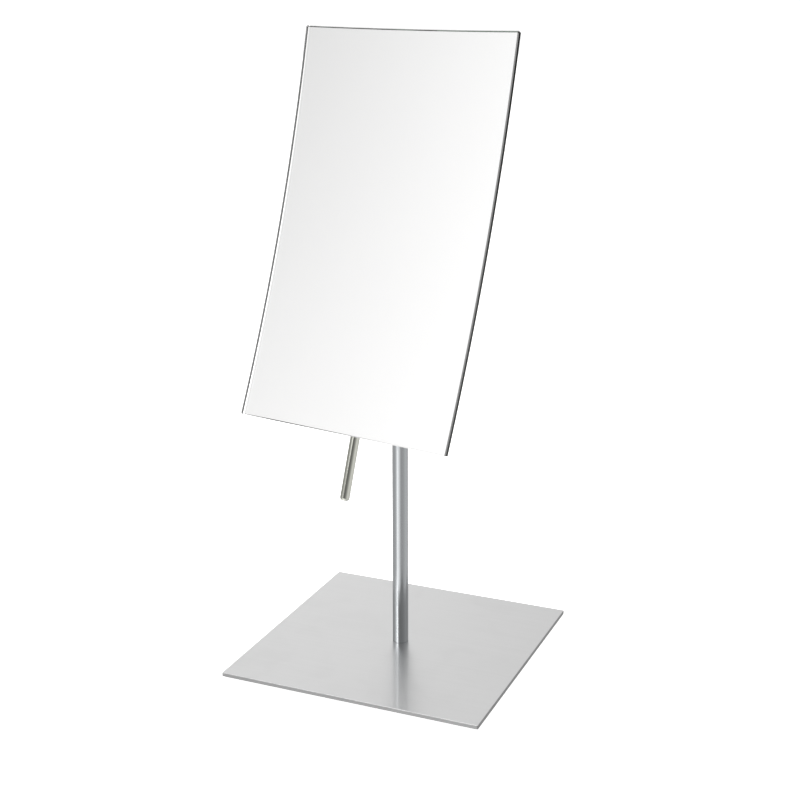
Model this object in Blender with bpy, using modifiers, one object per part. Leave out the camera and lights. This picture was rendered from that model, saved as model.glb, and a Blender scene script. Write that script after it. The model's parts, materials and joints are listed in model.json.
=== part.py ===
"""Countertop mirror: a dished rectangular mirror on a slim post over a thin square base.

The head tilts on a hinge at the top of the post, and the hinge's knuckle swivels in the post.
Metres, +Z up. The origin is on the floor, in the middle of the base. The mirror faces -Y.
"""
import math

import bmesh
import bpy
from mathutils import Matrix, Vector

MM = 0.001
GAP = 0.3 * MM  # clearance between neighbouring pieces

# Base
BASE_SIDE = 160 * MM
BASE_THICKNESS = 2.5 * MM
BASE_CORNER_RADIUS = 0.6 * MM
BASE_EDGE_CHAMFER = 0.35 * MM
FOOT_RADIUS = 6 * MM
FOOT_THICKNESS = 0.9 * MM
FOOT_INSET = 15 * MM  # from the plate's edge to the foot's centre

# Post
POST_RADIUS = 4.75 * MM
POST_WALL = 1.2 * MM
POST_CHAMFER = 0.25 * MM
INSERT_LENGTH = 14 * MM

# Where the head stands
PIVOT_HEIGHT = 252.4 * MM
SWIVEL_REST = math.radians(-10.4)
TILT_REST = math.radians(18.1)

# Mirror
MIRROR_WIDTH = 138.7 * MM
MIRROR_HEIGHT = 225.9 * MM
MIRROR_CURVE_RADIUS = 1179 * MM
GLASS_THICKNESS = 2.6 * MM
GLASS_EDGE = 0.5 * MM
TAPE_THICKNESS = 1 * MM
TAPE_WIDTH = 18 * MM
TAPE_MARGIN = 14 * MM  # from the glass's edge to the tape's edge
TAPE_SPACE = 10 * MM  # between one strip of tape and the next
SHEET_THICKNESS = 0.8 * MM
SHEET_INSET = 2.5 * MM
PIVOT_SETBACK = 20.7 * MM  # from the middle of the glass's face back to the hinge

# Handle
HANDLE_RADIUS = 2.75 * MM
HANDLE_SETBACK = 10 * MM  # from the middle of the glass's face back to the rod's axis
HANDLE_DROP = 150 * MM  # from the hinge's level down to the rod's end
HANDLE_END_ROUND = 1.6 * MM
SPIGOT_LENGTH = 8 * MM

# Bracket
BOSS_RADIUS = 13 * MM
BOSS_BACK = 14.4 * MM  # from the middle of the glass's face
BOSS_CHAMFER = 0.8 * MM
BOSS_FLAT = 12 * MM  # from the hinge's level down to the flat that the handle butts on
EAR_THICKNESS = 3 * MM
EAR_RADIUS = 6 * MM

# Hinge
TONGUE_THICKNESS = 5 * MM
TONGUE_RADIUS = 5.6 * MM
TONGUE_FOOT_HALF_WIDTH = 4.2 * MM
WASHER_THICKNESS = 0.5 * MM
COLLAR_TOP = 10 * MM  # below the hinge's axis
COLLAR_HEIGHT = 4 * MM
FLANGE_THICKNESS = 1 * MM
BUSH_LENGTH = 8 * MM
SPRING_THICKNESS = 0.4 * MM
SPRING_CONE = 0.35 * MM

# Screw sizes, as radii
M3_SHANK = 1.3 * MM
M4_SHANK = 1.95 * MM
M5_SHANK = 2.15 * MM
M3_NUT_FLATS = 5.5 * MM
M4_NUT_FLATS = 7 * MM
BOSS_SCREW_CIRCLE = 9 * MM
BOSS_SCREW_LENGTH = 6 * MM
BOSS_SCREW_HEAD_RADIUS = 2.8 * MM
BOSS_SCREW_HEAD_HEIGHT = 0.7 * MM

# Heights and depths that follow from the above
PLATE_BOTTOM = FOOT_THICKNESS + GAP
PLATE_TOP = PLATE_BOTTOM + BASE_THICKNESS
POST_BOTTOM = PLATE_TOP + GAP
COLLAR_BOTTOM = PIVOT_HEIGHT - COLLAR_TOP - COLLAR_HEIGHT
FLANGE_BOTTOM = COLLAR_BOTTOM - GAP - FLANGE_THICKNESS
POST_TOP = FLANGE_BOTTOM - GAP
POST_BORE = POST_RADIUS - POST_WALL
TAPE_DEPTH = GLASS_THICKNESS + GAP
SHEET_DEPTH = TAPE_DEPTH + TAPE_THICKNESS + GAP
BOSS_FRONT = SHEET_DEPTH + SHEET_THICKNESS + GAP
EAR_INNER = TONGUE_THICKNESS / 2 + WASHER_THICKNESS + 2 * GAP
EAR_OUTER = EAR_INNER + EAR_THICKNESS

# Facets
ROUND_STEPS = 32
ARC_STEPS = 12
CELL = 12 * MM  # size of a facet on the curved sheets
TRIM = 1 * MM  # how far a cutter runs past the face that it cuts


def clear_scene():
    for obj in list(bpy.data.objects):
        bpy.data.objects.remove(obj, do_unlink=True)


def new_collection(name):
    collection = bpy.data.collections.new(name)
    bpy.context.scene.collection.children.link(collection)
    return collection


def new_material(name, color, metallic, roughness):
    material = bpy.data.materials.new(name)
    material.use_nodes = True
    shader = material.node_tree.nodes["Principled BSDF"]
    shader.inputs["Base Color"].default_value = (*color, 1)
    shader.inputs["Metallic"].default_value = metallic
    shader.inputs["Roughness"].default_value = roughness
    return material


def new_empty(name, collection, height, parent=None):
    empty = bpy.data.objects.new(name, None)
    empty.empty_display_size = 10 * MM
    empty.location.z = height
    empty.parent = parent
    collection.objects.link(empty)
    return empty


def add_part(name, mesh, material, parent=None, turn=None):
    """Put a mesh in the model as one named piece; turn is its rotation under its parent."""
    mesh.materials.clear()
    mesh.materials.append(material)
    obj = bpy.data.objects.new(name, mesh)
    obj.parent = parent
    if turn is not None:
        obj.rotation_euler = turn
    bpy.data.collections["countertop_mirror"].objects.link(obj)
    return obj


def add_tool(name, mesh, parent=None, turn=None):
    """Put a mesh in the model as a shape that only cuts or joins others."""
    obj = bpy.data.objects.new(name, mesh)
    obj.parent = parent
    if turn is not None:
        obj.rotation_euler = turn
    obj.hide_render = True
    obj.display_type = "WIRE"
    bpy.data.collections["cutters"].objects.link(obj)
    return obj


def boolean(target, tool, operation="DIFFERENCE"):
    modifier = target.modifiers.new(f"{operation.lower()}_{tool.name}", "BOOLEAN")
    modifier.object = tool
    modifier.operation = operation
    modifier.solver = "EXACT"


def bevel(target, width, segments=2):
    modifier = target.modifiers.new("eased_edges", "BEVEL")
    modifier.width = width
    modifier.segments = segments
    modifier.limit_method = "ANGLE"
    modifier.angle_limit = math.radians(50)


def arc(centre_r, centre_z, radius, start, end, steps=4):
    """Points on a circle in a profile, from one angle to another in degrees."""
    points = []
    for step in range(steps + 1):
        angle = math.radians(start + (end - start) * step / steps)
        points.append((centre_r + radius * math.cos(angle), centre_z + radius * math.sin(angle)))
    return points


def turned_mesh(name, profile, closed=False, steps=ROUND_STEPS):
    """Turn a profile of (radius, height) points about Z with a Screw modifier."""
    mesh = bpy.data.meshes.new(name)
    edges = [(index, index + 1) for index in range(len(profile) - 1)]
    if closed:
        edges.append((len(profile) - 1, 0))
    mesh.from_pydata([(radius, 0, height) for radius, height in profile], edges, [])
    obj = bpy.data.objects.new(name, mesh)
    bpy.context.scene.collection.objects.link(obj)
    screw = obj.modifiers.new("turn", "SCREW")
    screw.axis = "Z"
    screw.steps = steps
    screw.render_steps = steps
    screw.use_merge_vertices = True
    screw.merge_threshold = 0.00001
    screw.use_smooth_shade = False
    return mesh_of(obj, name)


def outline_mesh(name, points, thickness, axis="Z"):
    """Give a flat outline its thickness, evenly both sides of its plane, which axis stands on."""
    curve = bpy.data.curves.new(name, "CURVE")
    curve.dimensions = "2D"
    curve.fill_mode = "BOTH"
    curve.extrude = thickness / 2
    spline = curve.splines.new("POLY")
    spline.points.add(len(points) - 1)
    for index, (first, second) in enumerate(points):
        spline.points[index].co = (first, second, 0, 1)
    spline.use_cyclic_u = True
    obj = bpy.data.objects.new(name, curve)
    bpy.context.scene.collection.objects.link(obj)
    mesh = mesh_of(obj, name)
    if axis == "X":
        mesh.transform(Matrix(((0, 0, 1, 0), (1, 0, 0, 0), (0, 1, 0, 0), (0, 0, 0, 1))))
    return mesh


def mesh_of(obj, name):
    """Keep an object's evaluated mesh, welded, and remove the object."""
    bpy.context.view_layer.update()
    evaluated = obj.evaluated_get(bpy.context.evaluated_depsgraph_get())
    mesh = bpy.data.meshes.new_from_object(evaluated)
    mesh.name = name
    bpy.data.objects.remove(obj, do_unlink=True)
    shape = bmesh.new()
    shape.from_mesh(mesh)
    bmesh.ops.remove_doubles(shape, verts=shape.verts, dist=0.00001)
    shape.to_mesh(mesh)
    shape.free()
    return mesh


def cylinder_mesh(name, radius, length, axis, centre, steps=ROUND_STEPS):
    """A closed cylinder along X, Y or Z about its centre."""
    turns = {"X": Matrix.Rotation(math.pi / 2, 4, "Y"), "Y": Matrix.Rotation(math.pi / 2, 4, "X"),
             "Z": Matrix.Identity(4)}
    shape = bmesh.new()
    bmesh.ops.create_cone(shape, cap_ends=True, segments=steps, radius1=radius, radius2=radius,
                          depth=length, matrix=Matrix.Translation(centre) @ turns[axis])
    mesh = bpy.data.meshes.new(name)
    shape.to_mesh(mesh)
    shape.free()
    return mesh


def hex_mesh(name, flats, low, high):
    """A hexagonal prism on the Z axis, measured across its flats."""
    middle = Vector((0, 0, (low + high) / 2))
    return cylinder_mesh(name, flats / math.sqrt(3), high - low, "Z", middle, steps=6)


def box_mesh(name, size, centre):
    shape = bmesh.new()
    place = Matrix.Translation(centre) @ Matrix.Diagonal((*size, 1))
    bmesh.ops.create_cube(shape, size=1, matrix=place)
    mesh = bpy.data.meshes.new(name)
    shape.to_mesh(mesh)
    shape.free()
    return mesh


def rounded_square(side, radius):
    points = []
    reach = side / 2 - radius
    for corner in range(4):
        turn = math.radians(90 * corner + 45)
        centre_x = reach * math.copysign(1, math.cos(turn))
        centre_y = reach * math.copysign(1, math.sin(turn))
        points.extend(arc(centre_x, centre_y, radius, 90 * corner, 90 * corner + 90))
    return points


def depth_from_pivot(depth):
    """A depth behind the middle of the glass's face, as a Y in the head's own axes."""
    return depth - PIVOT_SETBACK


def dished_sheet(name, width, height, depth, thickness, material, parent, centre=(0, 0)):
    """A rectangle bent to the mirror's sphere, its front face at a depth behind the glass's face."""
    across = max(2, round(width / CELL))
    up = max(2, round(height / CELL))
    shape = bmesh.new()
    bmesh.ops.create_grid(shape, x_segments=across, y_segments=up, size=0.5)
    sphere_centre = depth_from_pivot(-MIRROR_CURVE_RADIUS)
    sphere_radius = MIRROR_CURVE_RADIUS + depth
    for vert in shape.verts:
        x = centre[0] + vert.co.x * width
        z = centre[1] + vert.co.y * height
        y = sphere_centre + math.sqrt(sphere_radius ** 2 - x ** 2 - z ** 2)
        vert.co = (x, y, z)
    mesh = bpy.data.meshes.new(name)
    shape.to_mesh(mesh)
    shape.free()
    sheet = add_part(name, mesh, material, parent)
    solidify = sheet.modifiers.new("thickness", "SOLIDIFY")
    solidify.thickness = thickness
    solidify.offset = -1
    return sheet


def smooth(obj):
    obj.data.shade_smooth()
    obj.data.set_sharp_from_angle(angle=math.radians(40))


# Base and post

def make_base_plate(material):
    outline = rounded_square(BASE_SIDE, BASE_CORNER_RADIUS)
    mesh = outline_mesh("base_plate", outline, BASE_THICKNESS)
    mesh.transform(Matrix.Translation((0, 0, (PLATE_BOTTOM + PLATE_TOP) / 2)))
    plate = add_part("base_plate", mesh, material)
    bevel(plate, BASE_EDGE_CHAMFER, segments=1)
    hole = M5_SHANK + GAP
    sink_bottom = 4.7 * MM
    sink_depth = 2.2 * MM
    profile = [(0, PLATE_TOP + TRIM), (hole, PLATE_TOP + TRIM), (hole, PLATE_BOTTOM + sink_depth),
               (sink_bottom, PLATE_BOTTOM), (sink_bottom, PLATE_BOTTOM - TRIM), (0, PLATE_BOTTOM - TRIM)]
    boolean(plate, add_tool("screw_sink", turned_mesh("screw_sink", profile)))


def make_feet(material):
    reach = BASE_SIDE / 2 - FOOT_INSET
    places = {"foot_front_left": (-reach, -reach), "foot_front_right": (reach, -reach),
              "foot_rear_left": (-reach, reach), "foot_rear_right": (reach, reach)}
    edge = 0.25 * MM
    profile = [(0, FOOT_THICKNESS), (FOOT_RADIUS, FOOT_THICKNESS), (FOOT_RADIUS, edge),
               (FOOT_RADIUS - edge, 0), (0, 0)]
    for name, (x, y) in places.items():
        foot = add_part(name, turned_mesh(name, profile), material)
        foot.location = (x, y, 0)
        smooth(foot)


def make_base_screw(material):
    head_radius = 4.3 * MM
    head_height = 2 * MM
    head_bottom = PLATE_BOTTOM + 0.1 * MM
    rim = 0.2 * MM
    thread_in_insert = 11 * MM
    tip = POST_BOTTOM + thread_in_insert
    chamfer = 0.6 * MM
    socket_flats = 3 * MM
    socket_depth = 1.4 * MM
    profile = [(0, tip), (M5_SHANK - chamfer, tip), (M5_SHANK, tip - chamfer),
               (M5_SHANK, head_bottom + head_height), (head_radius, head_bottom + rim),
               (head_radius, head_bottom), (0, head_bottom)]
    screw = add_part("base_screw", turned_mesh("base_screw", profile), material)
    socket = hex_mesh("base_screw_socket", socket_flats, head_bottom - TRIM, head_bottom + socket_depth)
    boolean(screw, add_tool("base_screw_socket", socket))
    smooth(screw)


def make_post(steel, zinc):
    outer = POST_RADIUS
    inner = POST_BORE
    edge = POST_CHAMFER
    profile = [(outer - edge, POST_TOP), (outer, POST_TOP - edge), (outer, POST_BOTTOM + edge),
               (outer - edge, POST_BOTTOM), (inner, POST_BOTTOM), (inner, POST_TOP)]
    smooth(add_part("post_tube", turned_mesh("post_tube", profile, closed=True), steel))
    insert_top = POST_BOTTOM + INSERT_LENGTH
    insert_outer = inner - GAP
    insert_inner = M5_SHANK + GAP
    profile = [(insert_outer - edge, insert_top), (insert_outer, insert_top - edge),
               (insert_outer, POST_BOTTOM), (insert_inner, POST_BOTTOM), (insert_inner, insert_top)]
    smooth(add_part("post_insert", turned_mesh("post_insert", profile, closed=True), zinc))


def make_swivel_bush(material):
    flange_top = FLANGE_BOTTOM + FLANGE_THICKNESS
    sleeve = POST_BORE - GAP
    bore = M4_SHANK + GAP
    low = FLANGE_BOTTOM - BUSH_LENGTH
    profile = [(POST_RADIUS, flange_top), (POST_RADIUS, FLANGE_BOTTOM), (sleeve, FLANGE_BOTTOM),
               (sleeve, low), (bore, low), (bore, flange_top)]
    smooth(add_part("swivel_bush", turned_mesh("swivel_bush", profile, closed=True), material))


# Neck: what turns in the post. Its own axes start at the hinge, with Z up the post.

def make_knuckle(material, parent):
    foot_z = -COLLAR_TOP - TRIM
    lean = math.degrees(math.asin((TONGUE_RADIUS - TONGUE_FOOT_HALF_WIDTH) / COLLAR_TOP))
    outline = [(TONGUE_FOOT_HALF_WIDTH, foot_z)]
    outline.extend(arc(0, 0, TONGUE_RADIUS, -lean, 180 + lean, ARC_STEPS * 2))
    outline.append((-TONGUE_FOOT_HALF_WIDTH, foot_z))
    knuckle = add_part("knuckle", outline_mesh("knuckle", outline, TONGUE_THICKNESS, "X"), material, parent)
    bush_low = FLANGE_BOTTOM - BUSH_LENGTH - PIVOT_HEIGHT
    collar_low = COLLAR_BOTTOM - PIVOT_HEIGHT
    thread_length = 7 * MM
    stud_low = bush_low - thread_length
    edge = 0.4 * MM
    profile = [(0, -COLLAR_TOP), (POST_RADIUS - edge, -COLLAR_TOP), (POST_RADIUS, -COLLAR_TOP - edge),
               (POST_RADIUS, collar_low), (M4_SHANK, collar_low), (M4_SHANK, bush_low - GAP),
               (M3_SHANK, bush_low - GAP), (M3_SHANK, stud_low), (0, stud_low)]
    boolean(knuckle, add_tool("knuckle_stud", turned_mesh("knuckle_stud", profile), parent), "UNION")
    hole = cylinder_mesh("knuckle_hole", M4_SHANK + GAP, TONGUE_THICKNESS + 2 * TRIM, "X", (0, 0, 0))
    boolean(knuckle, add_tool("knuckle_hole", hole, parent))


def make_swivel_fasteners(material, parent):
    washer_top = FLANGE_BOTTOM - BUSH_LENGTH - 2 * GAP - PIVOT_HEIGHT
    washer_thickness = 0.6 * MM
    washer_low = washer_top - washer_thickness
    bore = M3_SHANK + GAP
    outer = 3 * MM
    profile = [(outer, washer_top), (outer, washer_low), (bore, washer_low), (bore, washer_top)]
    washer = turned_mesh("swivel_washer", profile, closed=True)
    add_part("swivel_washer", washer, material, parent)
    nut_top = washer_low - GAP
    nut_height = 2.6 * MM
    nut_low = nut_top - nut_height
    nut = add_part("swivel_nut", hex_mesh("swivel_nut", M3_NUT_FLATS, nut_low, nut_top), material, parent)
    ring_radius = 2.5 * MM
    ring_height = 1.2 * MM
    ring_low = nut_low - ring_height
    ring = [(0, nut_top - TRIM), (ring_radius, nut_top - TRIM), (ring_radius, ring_low), (0, ring_low)]
    boolean(nut, add_tool("swivel_nut_ring", turned_mesh("swivel_nut_ring", ring), parent), "UNION")
    hole_length = 2 * (nut_height + ring_height)
    hole = cylinder_mesh("swivel_nut_hole", bore, hole_length, "Z", (0, 0, nut_low))
    boolean(nut, add_tool("swivel_nut_hole", hole, parent))


# Head: what tilts. Its own axes start at the hinge: X along it, Y back, Z up the glass.

def make_glass(material, parent):
    glass = dished_sheet("mirror_glass", MIRROR_WIDTH, MIRROR_HEIGHT, 0, GLASS_THICKNESS, material, parent)
    bevel(glass, GLASS_EDGE)


def make_tapes(material, parent):
    side_x = MIRROR_WIDTH / 2 - TAPE_MARGIN - TAPE_WIDTH / 2
    end_z = MIRROR_HEIGHT / 2 - TAPE_MARGIN - TAPE_WIDTH / 2
    long_way = MIRROR_WIDTH - 2 * TAPE_MARGIN
    short_way = MIRROR_HEIGHT - 2 * TAPE_MARGIN - 2 * TAPE_WIDTH - 2 * TAPE_SPACE
    strips = {"tape_top": (long_way, TAPE_WIDTH, 0, end_z), "tape_bottom": (long_way, TAPE_WIDTH, 0, -end_z),
              "tape_left": (TAPE_WIDTH, short_way, -side_x, 0), "tape_right": (TAPE_WIDTH, short_way, side_x, 0)}
    for name, (width, height, x, z) in strips.items():
        dished_sheet(name, width, height, TAPE_DEPTH, TAPE_THICKNESS, material, parent, (x, z))


def boss_screw_places():
    """Three places on a circle about the boss's axis, the first at the top."""
    places = []
    for index in range(3):
        angle = math.radians(90 + 120 * index)
        places.append((BOSS_SCREW_CIRCLE * math.cos(angle), BOSS_SCREW_CIRCLE * math.sin(angle)))
    return places


def make_back_plate(material, parent):
    width = MIRROR_WIDTH - 2 * SHEET_INSET
    height = MIRROR_HEIGHT - 2 * SHEET_INSET
    plate = dished_sheet("back_plate", width, height, SHEET_DEPTH, SHEET_THICKNESS, material, parent)
    middle = depth_from_pivot(SHEET_DEPTH)
    hole_length = SHEET_THICKNESS + 4 * TRIM
    for index, (x, z) in enumerate(boss_screw_places(), start=1):
        name = f"back_plate_hole_{index}"
        hole = cylinder_mesh(name, M3_SHANK + GAP, hole_length, "Y", (x, middle, z), ARC_STEPS)
        boolean(plate, add_tool(name, hole, parent))


def make_bracket(material, parent):
    front = depth_from_pivot(BOSS_FRONT)
    back = depth_from_pivot(BOSS_BACK)
    edge = BOSS_CHAMFER
    profile = [(0, back), (BOSS_RADIUS - edge, back), (BOSS_RADIUS, back - edge), (BOSS_RADIUS, front),
               (0, front)]
    boss = turned_mesh("bracket", profile, steps=ROUND_STEPS + ARC_STEPS)
    boss.transform(Matrix.Rotation(-math.pi / 2, 4, "X"))
    bracket = add_part("bracket", boss, material, parent)
    root = back - TRIM
    outline = [(root, -EAR_RADIUS)]
    outline.extend(arc(0, 0, EAR_RADIUS, -90, 90, ARC_STEPS))
    outline.append((root, EAR_RADIUS))
    for side, name in ((-1, "ear_left"), (1, "ear_right")):
        mesh = outline_mesh(name, outline, EAR_THICKNESS, "X")
        mesh.transform(Matrix.Translation((side * (EAR_INNER + EAR_THICKNESS / 2), 0, 0)))
        boolean(bracket, add_tool(name, mesh, parent), "UNION")
    hole = cylinder_mesh("ear_hole", M4_SHANK + GAP, 2 * EAR_OUTER + 2 * TRIM, "X", (0, 0, 0))
    boolean(bracket, add_tool("ear_hole", hole, parent))
    depth = back - front + 2 * TRIM
    low = BOSS_RADIUS - BOSS_FLAT + TRIM
    flat = box_mesh("boss_flat", (2 * BOSS_RADIUS, depth, low),
                    (0, (front + back) / 2, -BOSS_FLAT - low / 2))
    boolean(bracket, add_tool("boss_flat", flat, parent))
    spigot_y = depth_from_pivot(HANDLE_SETBACK)
    length = SPIGOT_LENGTH + GAP + TRIM
    socket = cylinder_mesh("handle_socket", M4_SHANK + GAP, length, "Z",
                           (0, spigot_y, -BOSS_FLAT - TRIM + length / 2))
    boolean(bracket, add_tool("handle_socket", socket, parent))
    for index, (x, z) in enumerate(boss_screw_places(), start=1):
        name = f"boss_hole_{index}"
        length = 2 * BOSS_SCREW_LENGTH
        hole = cylinder_mesh(name, M3_SHANK + GAP, length, "Y", (x, front, z), ARC_STEPS)
        boolean(bracket, add_tool(name, hole, parent))


def make_bracket_screws(material, parent):
    head_back = depth_from_pivot(SHEET_DEPTH) - GAP
    head_front = head_back - BOSS_SCREW_HEAD_HEIGHT
    tip = depth_from_pivot(BOSS_FRONT) + BOSS_SCREW_LENGTH - 2 * GAP
    profile = [(0, tip), (M3_SHANK, tip), (M3_SHANK, head_back), (BOSS_SCREW_HEAD_RADIUS, head_back),
               (BOSS_SCREW_HEAD_RADIUS, head_front), (0, head_front)]
    for index, (x, z) in enumerate(boss_screw_places(), start=1):
        name = f"bracket_screw_{index}"
        mesh = turned_mesh(name, profile, steps=ARC_STEPS)
        mesh.transform(Matrix.Translation((x, 0, z)) @ Matrix.Rotation(-math.pi / 2, 4, "X"))
        add_part(name, mesh, material, parent)


def make_handle(material, parent):
    shoulder = -BOSS_FLAT - GAP
    spigot_top = shoulder + SPIGOT_LENGTH
    end = -HANDLE_DROP
    round_over = HANDLE_END_ROUND
    chamfer = 0.5 * MM
    profile = [(0, spigot_top), (M4_SHANK - chamfer, spigot_top), (M4_SHANK, spigot_top - chamfer),
               (M4_SHANK, shoulder), (HANDLE_RADIUS, shoulder)]
    profile.extend(arc(HANDLE_RADIUS - round_over, end + round_over, round_over, 0, -90))
    profile.append((0, end))
    mesh = turned_mesh("handle_rod", profile)
    mesh.transform(Matrix.Translation((0, depth_from_pivot(HANDLE_SETBACK), 0)))
    smooth(add_part("handle_rod", mesh, material, parent))


def make_hinge_washers(plastic, parent):
    inner_face = TONGUE_THICKNESS / 2 + GAP
    bore = M4_SHANK + GAP
    profile = [(TONGUE_RADIUS, inner_face + WASHER_THICKNESS), (TONGUE_RADIUS, inner_face),
               (bore, inner_face), (bore, inner_face + WASHER_THICKNESS)]
    turns = {"friction_washer_right": (0, math.pi / 2, 0), "friction_washer_left": (0, -math.pi / 2, 0)}
    for name, turn in turns.items():
        add_part(name, turned_mesh(name, profile, closed=True), plastic, parent, turn)


def make_hinge_bolt(material, parent):
    """The bolt's head is on the right. It is turned about Z and laid along X."""
    head_low = EAR_OUTER + GAP
    head_radius = 3.8 * MM
    head_height = 2.2 * MM
    thread_past_ear = 5.6 * MM
    tip = -EAR_OUTER - thread_past_ear
    crown = 1.4 * MM
    socket_flats = 2.5 * MM
    socket_depth = 1.3 * MM
    head_top = head_low + head_height
    profile = [(0, head_top), (head_radius - crown, head_top)]
    profile.extend(arc(head_radius - crown, head_top - crown, crown, 60, 0, 3))
    profile.extend([(head_radius, head_low), (M4_SHANK, head_low), (M4_SHANK, tip), (0, tip)])
    lay = (0, math.pi / 2, 0)
    bolt = add_part("hinge_bolt", turned_mesh("hinge_bolt", profile), material, parent, lay)
    socket = hex_mesh("hinge_bolt_socket", socket_flats, head_top - socket_depth, head_top + TRIM)
    boolean(bolt, add_tool("hinge_bolt_socket", socket, parent, lay))
    smooth(bolt)


def make_hinge_spring(material, parent):
    low = EAR_OUTER + GAP
    bore = M4_SHANK + GAP
    outer = 4 * MM
    profile = [(outer, low + SPRING_THICKNESS), (outer, low), (bore, low + SPRING_CONE),
               (bore, low + SPRING_CONE + SPRING_THICKNESS)]
    mesh = turned_mesh("hinge_spring", profile, closed=True)
    add_part("hinge_spring", mesh, material, parent, (0, -math.pi / 2, 0))


def make_hinge_nut(material, parent):
    """An acorn nut: a hexagon with a domed end, its blind thread open towards the ear."""
    low = EAR_OUTER + SPRING_CONE + SPRING_THICKNESS + 2 * GAP
    hex_height = 3.2 * MM
    dome_radius = 3.2 * MM
    hex_high = low + hex_height
    lay = (0, -math.pi / 2, 0)
    nut = add_part("hinge_nut", hex_mesh("hinge_nut", M4_NUT_FLATS, low, hex_high), material, parent, lay)
    profile = arc(0, hex_high - TRIM / 2, dome_radius, 90, 0, 8)
    profile[0] = (0, profile[0][1])
    profile.append((0, hex_high - TRIM / 2))
    boolean(nut, add_tool("hinge_nut_dome", turned_mesh("hinge_nut_dome", profile), parent, lay), "UNION")
    bore_depth = 4.8 * MM
    bore = cylinder_mesh("hinge_nut_bore", M4_SHANK + GAP, bore_depth + TRIM, "Z",
                         (0, 0, low + (bore_depth - TRIM) / 2))
    boolean(nut, add_tool("hinge_nut_bore", bore, parent, lay))


def build():
    clear_scene()
    collection = new_collection("countertop_mirror")
    new_collection("cutters")
    brushed_steel = new_material("brushed_steel", (0.62, 0.62, 0.62), 1, 0.32)
    satin_steel = new_material("satin_steel", (0.55, 0.57, 0.59), 1, 0.25)
    polished_steel = new_material("polished_steel", (0.60, 0.60, 0.56), 1, 0.12)
    zinc_steel = new_material("zinc_steel", (0.60, 0.61, 0.63), 1, 0.35)
    mirror = new_material("mirror", (0.93, 0.94, 0.93), 1, 0.02)
    nylon = new_material("nylon", (0.85, 0.85, 0.82), 0, 0.5)
    rubber = new_material("rubber", (0.03, 0.03, 0.03), 0, 0.8)
    foam_tape = new_material("foam_tape", (0.10, 0.10, 0.10), 0, 0.9)

    swivel_axis = new_empty("swivel_axis", collection, PIVOT_HEIGHT)
    swivel_axis.rotation_euler.z = SWIVEL_REST
    tilt_axis = new_empty("tilt_axis", collection, 0, swivel_axis)
    tilt_axis.rotation_euler.x = -TILT_REST

    make_base_plate(brushed_steel)
    make_feet(rubber)
    make_base_screw(zinc_steel)
    make_post(satin_steel, zinc_steel)
    make_swivel_bush(nylon)

    make_knuckle(satin_steel, swivel_axis)
    make_swivel_fasteners(zinc_steel, swivel_axis)

    make_glass(mirror, tilt_axis)
    make_tapes(foam_tape, tilt_axis)
    make_back_plate(brushed_steel, tilt_axis)
    make_bracket(satin_steel, tilt_axis)
    make_bracket_screws(zinc_steel, tilt_axis)
    make_handle(polished_steel, tilt_axis)
    make_hinge_washers(nylon, tilt_axis)
    make_hinge_bolt(polished_steel, tilt_axis)
    make_hinge_spring(zinc_steel, tilt_axis)
    make_hinge_nut(polished_steel, tilt_axis)


build()
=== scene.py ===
"""Looks of a countertop mirror: silvered curved glass on a slim steel stand.

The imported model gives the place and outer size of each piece. Pieces of the head are modelled upright
at the hinge and then turned to where the head rests.
"""
import json
import math

import bmesh
import bpy
from mathutils import Matrix, Vector


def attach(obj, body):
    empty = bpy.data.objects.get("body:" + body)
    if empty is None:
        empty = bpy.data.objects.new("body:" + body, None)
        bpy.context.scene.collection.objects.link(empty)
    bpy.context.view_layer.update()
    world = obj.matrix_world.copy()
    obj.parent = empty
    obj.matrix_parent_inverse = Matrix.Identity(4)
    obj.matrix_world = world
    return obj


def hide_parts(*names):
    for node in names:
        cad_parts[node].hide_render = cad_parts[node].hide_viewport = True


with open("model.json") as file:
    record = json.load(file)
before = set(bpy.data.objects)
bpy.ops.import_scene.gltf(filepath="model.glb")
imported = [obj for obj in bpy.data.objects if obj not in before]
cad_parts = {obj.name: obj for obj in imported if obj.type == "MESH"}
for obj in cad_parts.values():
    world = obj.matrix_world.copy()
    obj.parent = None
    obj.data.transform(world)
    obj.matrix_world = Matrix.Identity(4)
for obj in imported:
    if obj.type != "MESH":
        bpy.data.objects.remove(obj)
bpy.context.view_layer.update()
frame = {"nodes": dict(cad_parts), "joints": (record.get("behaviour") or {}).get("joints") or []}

MM = 0.001

# Curve of the glass and of the sheet behind it
MIRROR_CURVE_RADIUS = 1179 * MM
SILVER_INSET = 0.06 * MM  # how deep the silver lies in the back of the glass
SILVER_THICKNESS = 0.15 * MM
SHARP = 1  # turn of an edge, in radians, past which the glass is ground there

BOLT_BORE = 2.25 * MM  # radius of the holes round the M4 bolt, stud and rod end
NEAR = 0.1 * MM  # how close to an end an edge counts as part of it
PAST = 12 * MM  # how far a sideways drill reaches past the middle of the hinge

# Camera, about the object
CAMERA_AZIMUTH = math.radians(23.2)
CAMERA_ELEVATION = math.radians(16.8)
CAMERA_ROLL = math.radians(-0.15)
CAMERA_DISTANCE = 845 * MM
CAMERA_LENS = 65.1
AIM_HEIGHT = 157.8 * MM


def hinge_of(name):
    return next(joint for joint in frame["joints"] if joint["name"] == name)


def head_place():
    """The head's own axes at rest: X along the hinge, Y to the back, Z up the glass."""
    tilt = hinge_of("mirror_tilt")
    axis = Vector(tilt["axis"])
    swivel = math.atan2(-axis.y, -axis.x)
    lean = math.radians(tilt["range_deg"][0])
    turn = Matrix.Rotation(swivel, 4, "Z") @ Matrix.Rotation(lean, 4, "X")
    return Matrix.Translation(tilt["pos_m"]) @ turn


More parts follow.
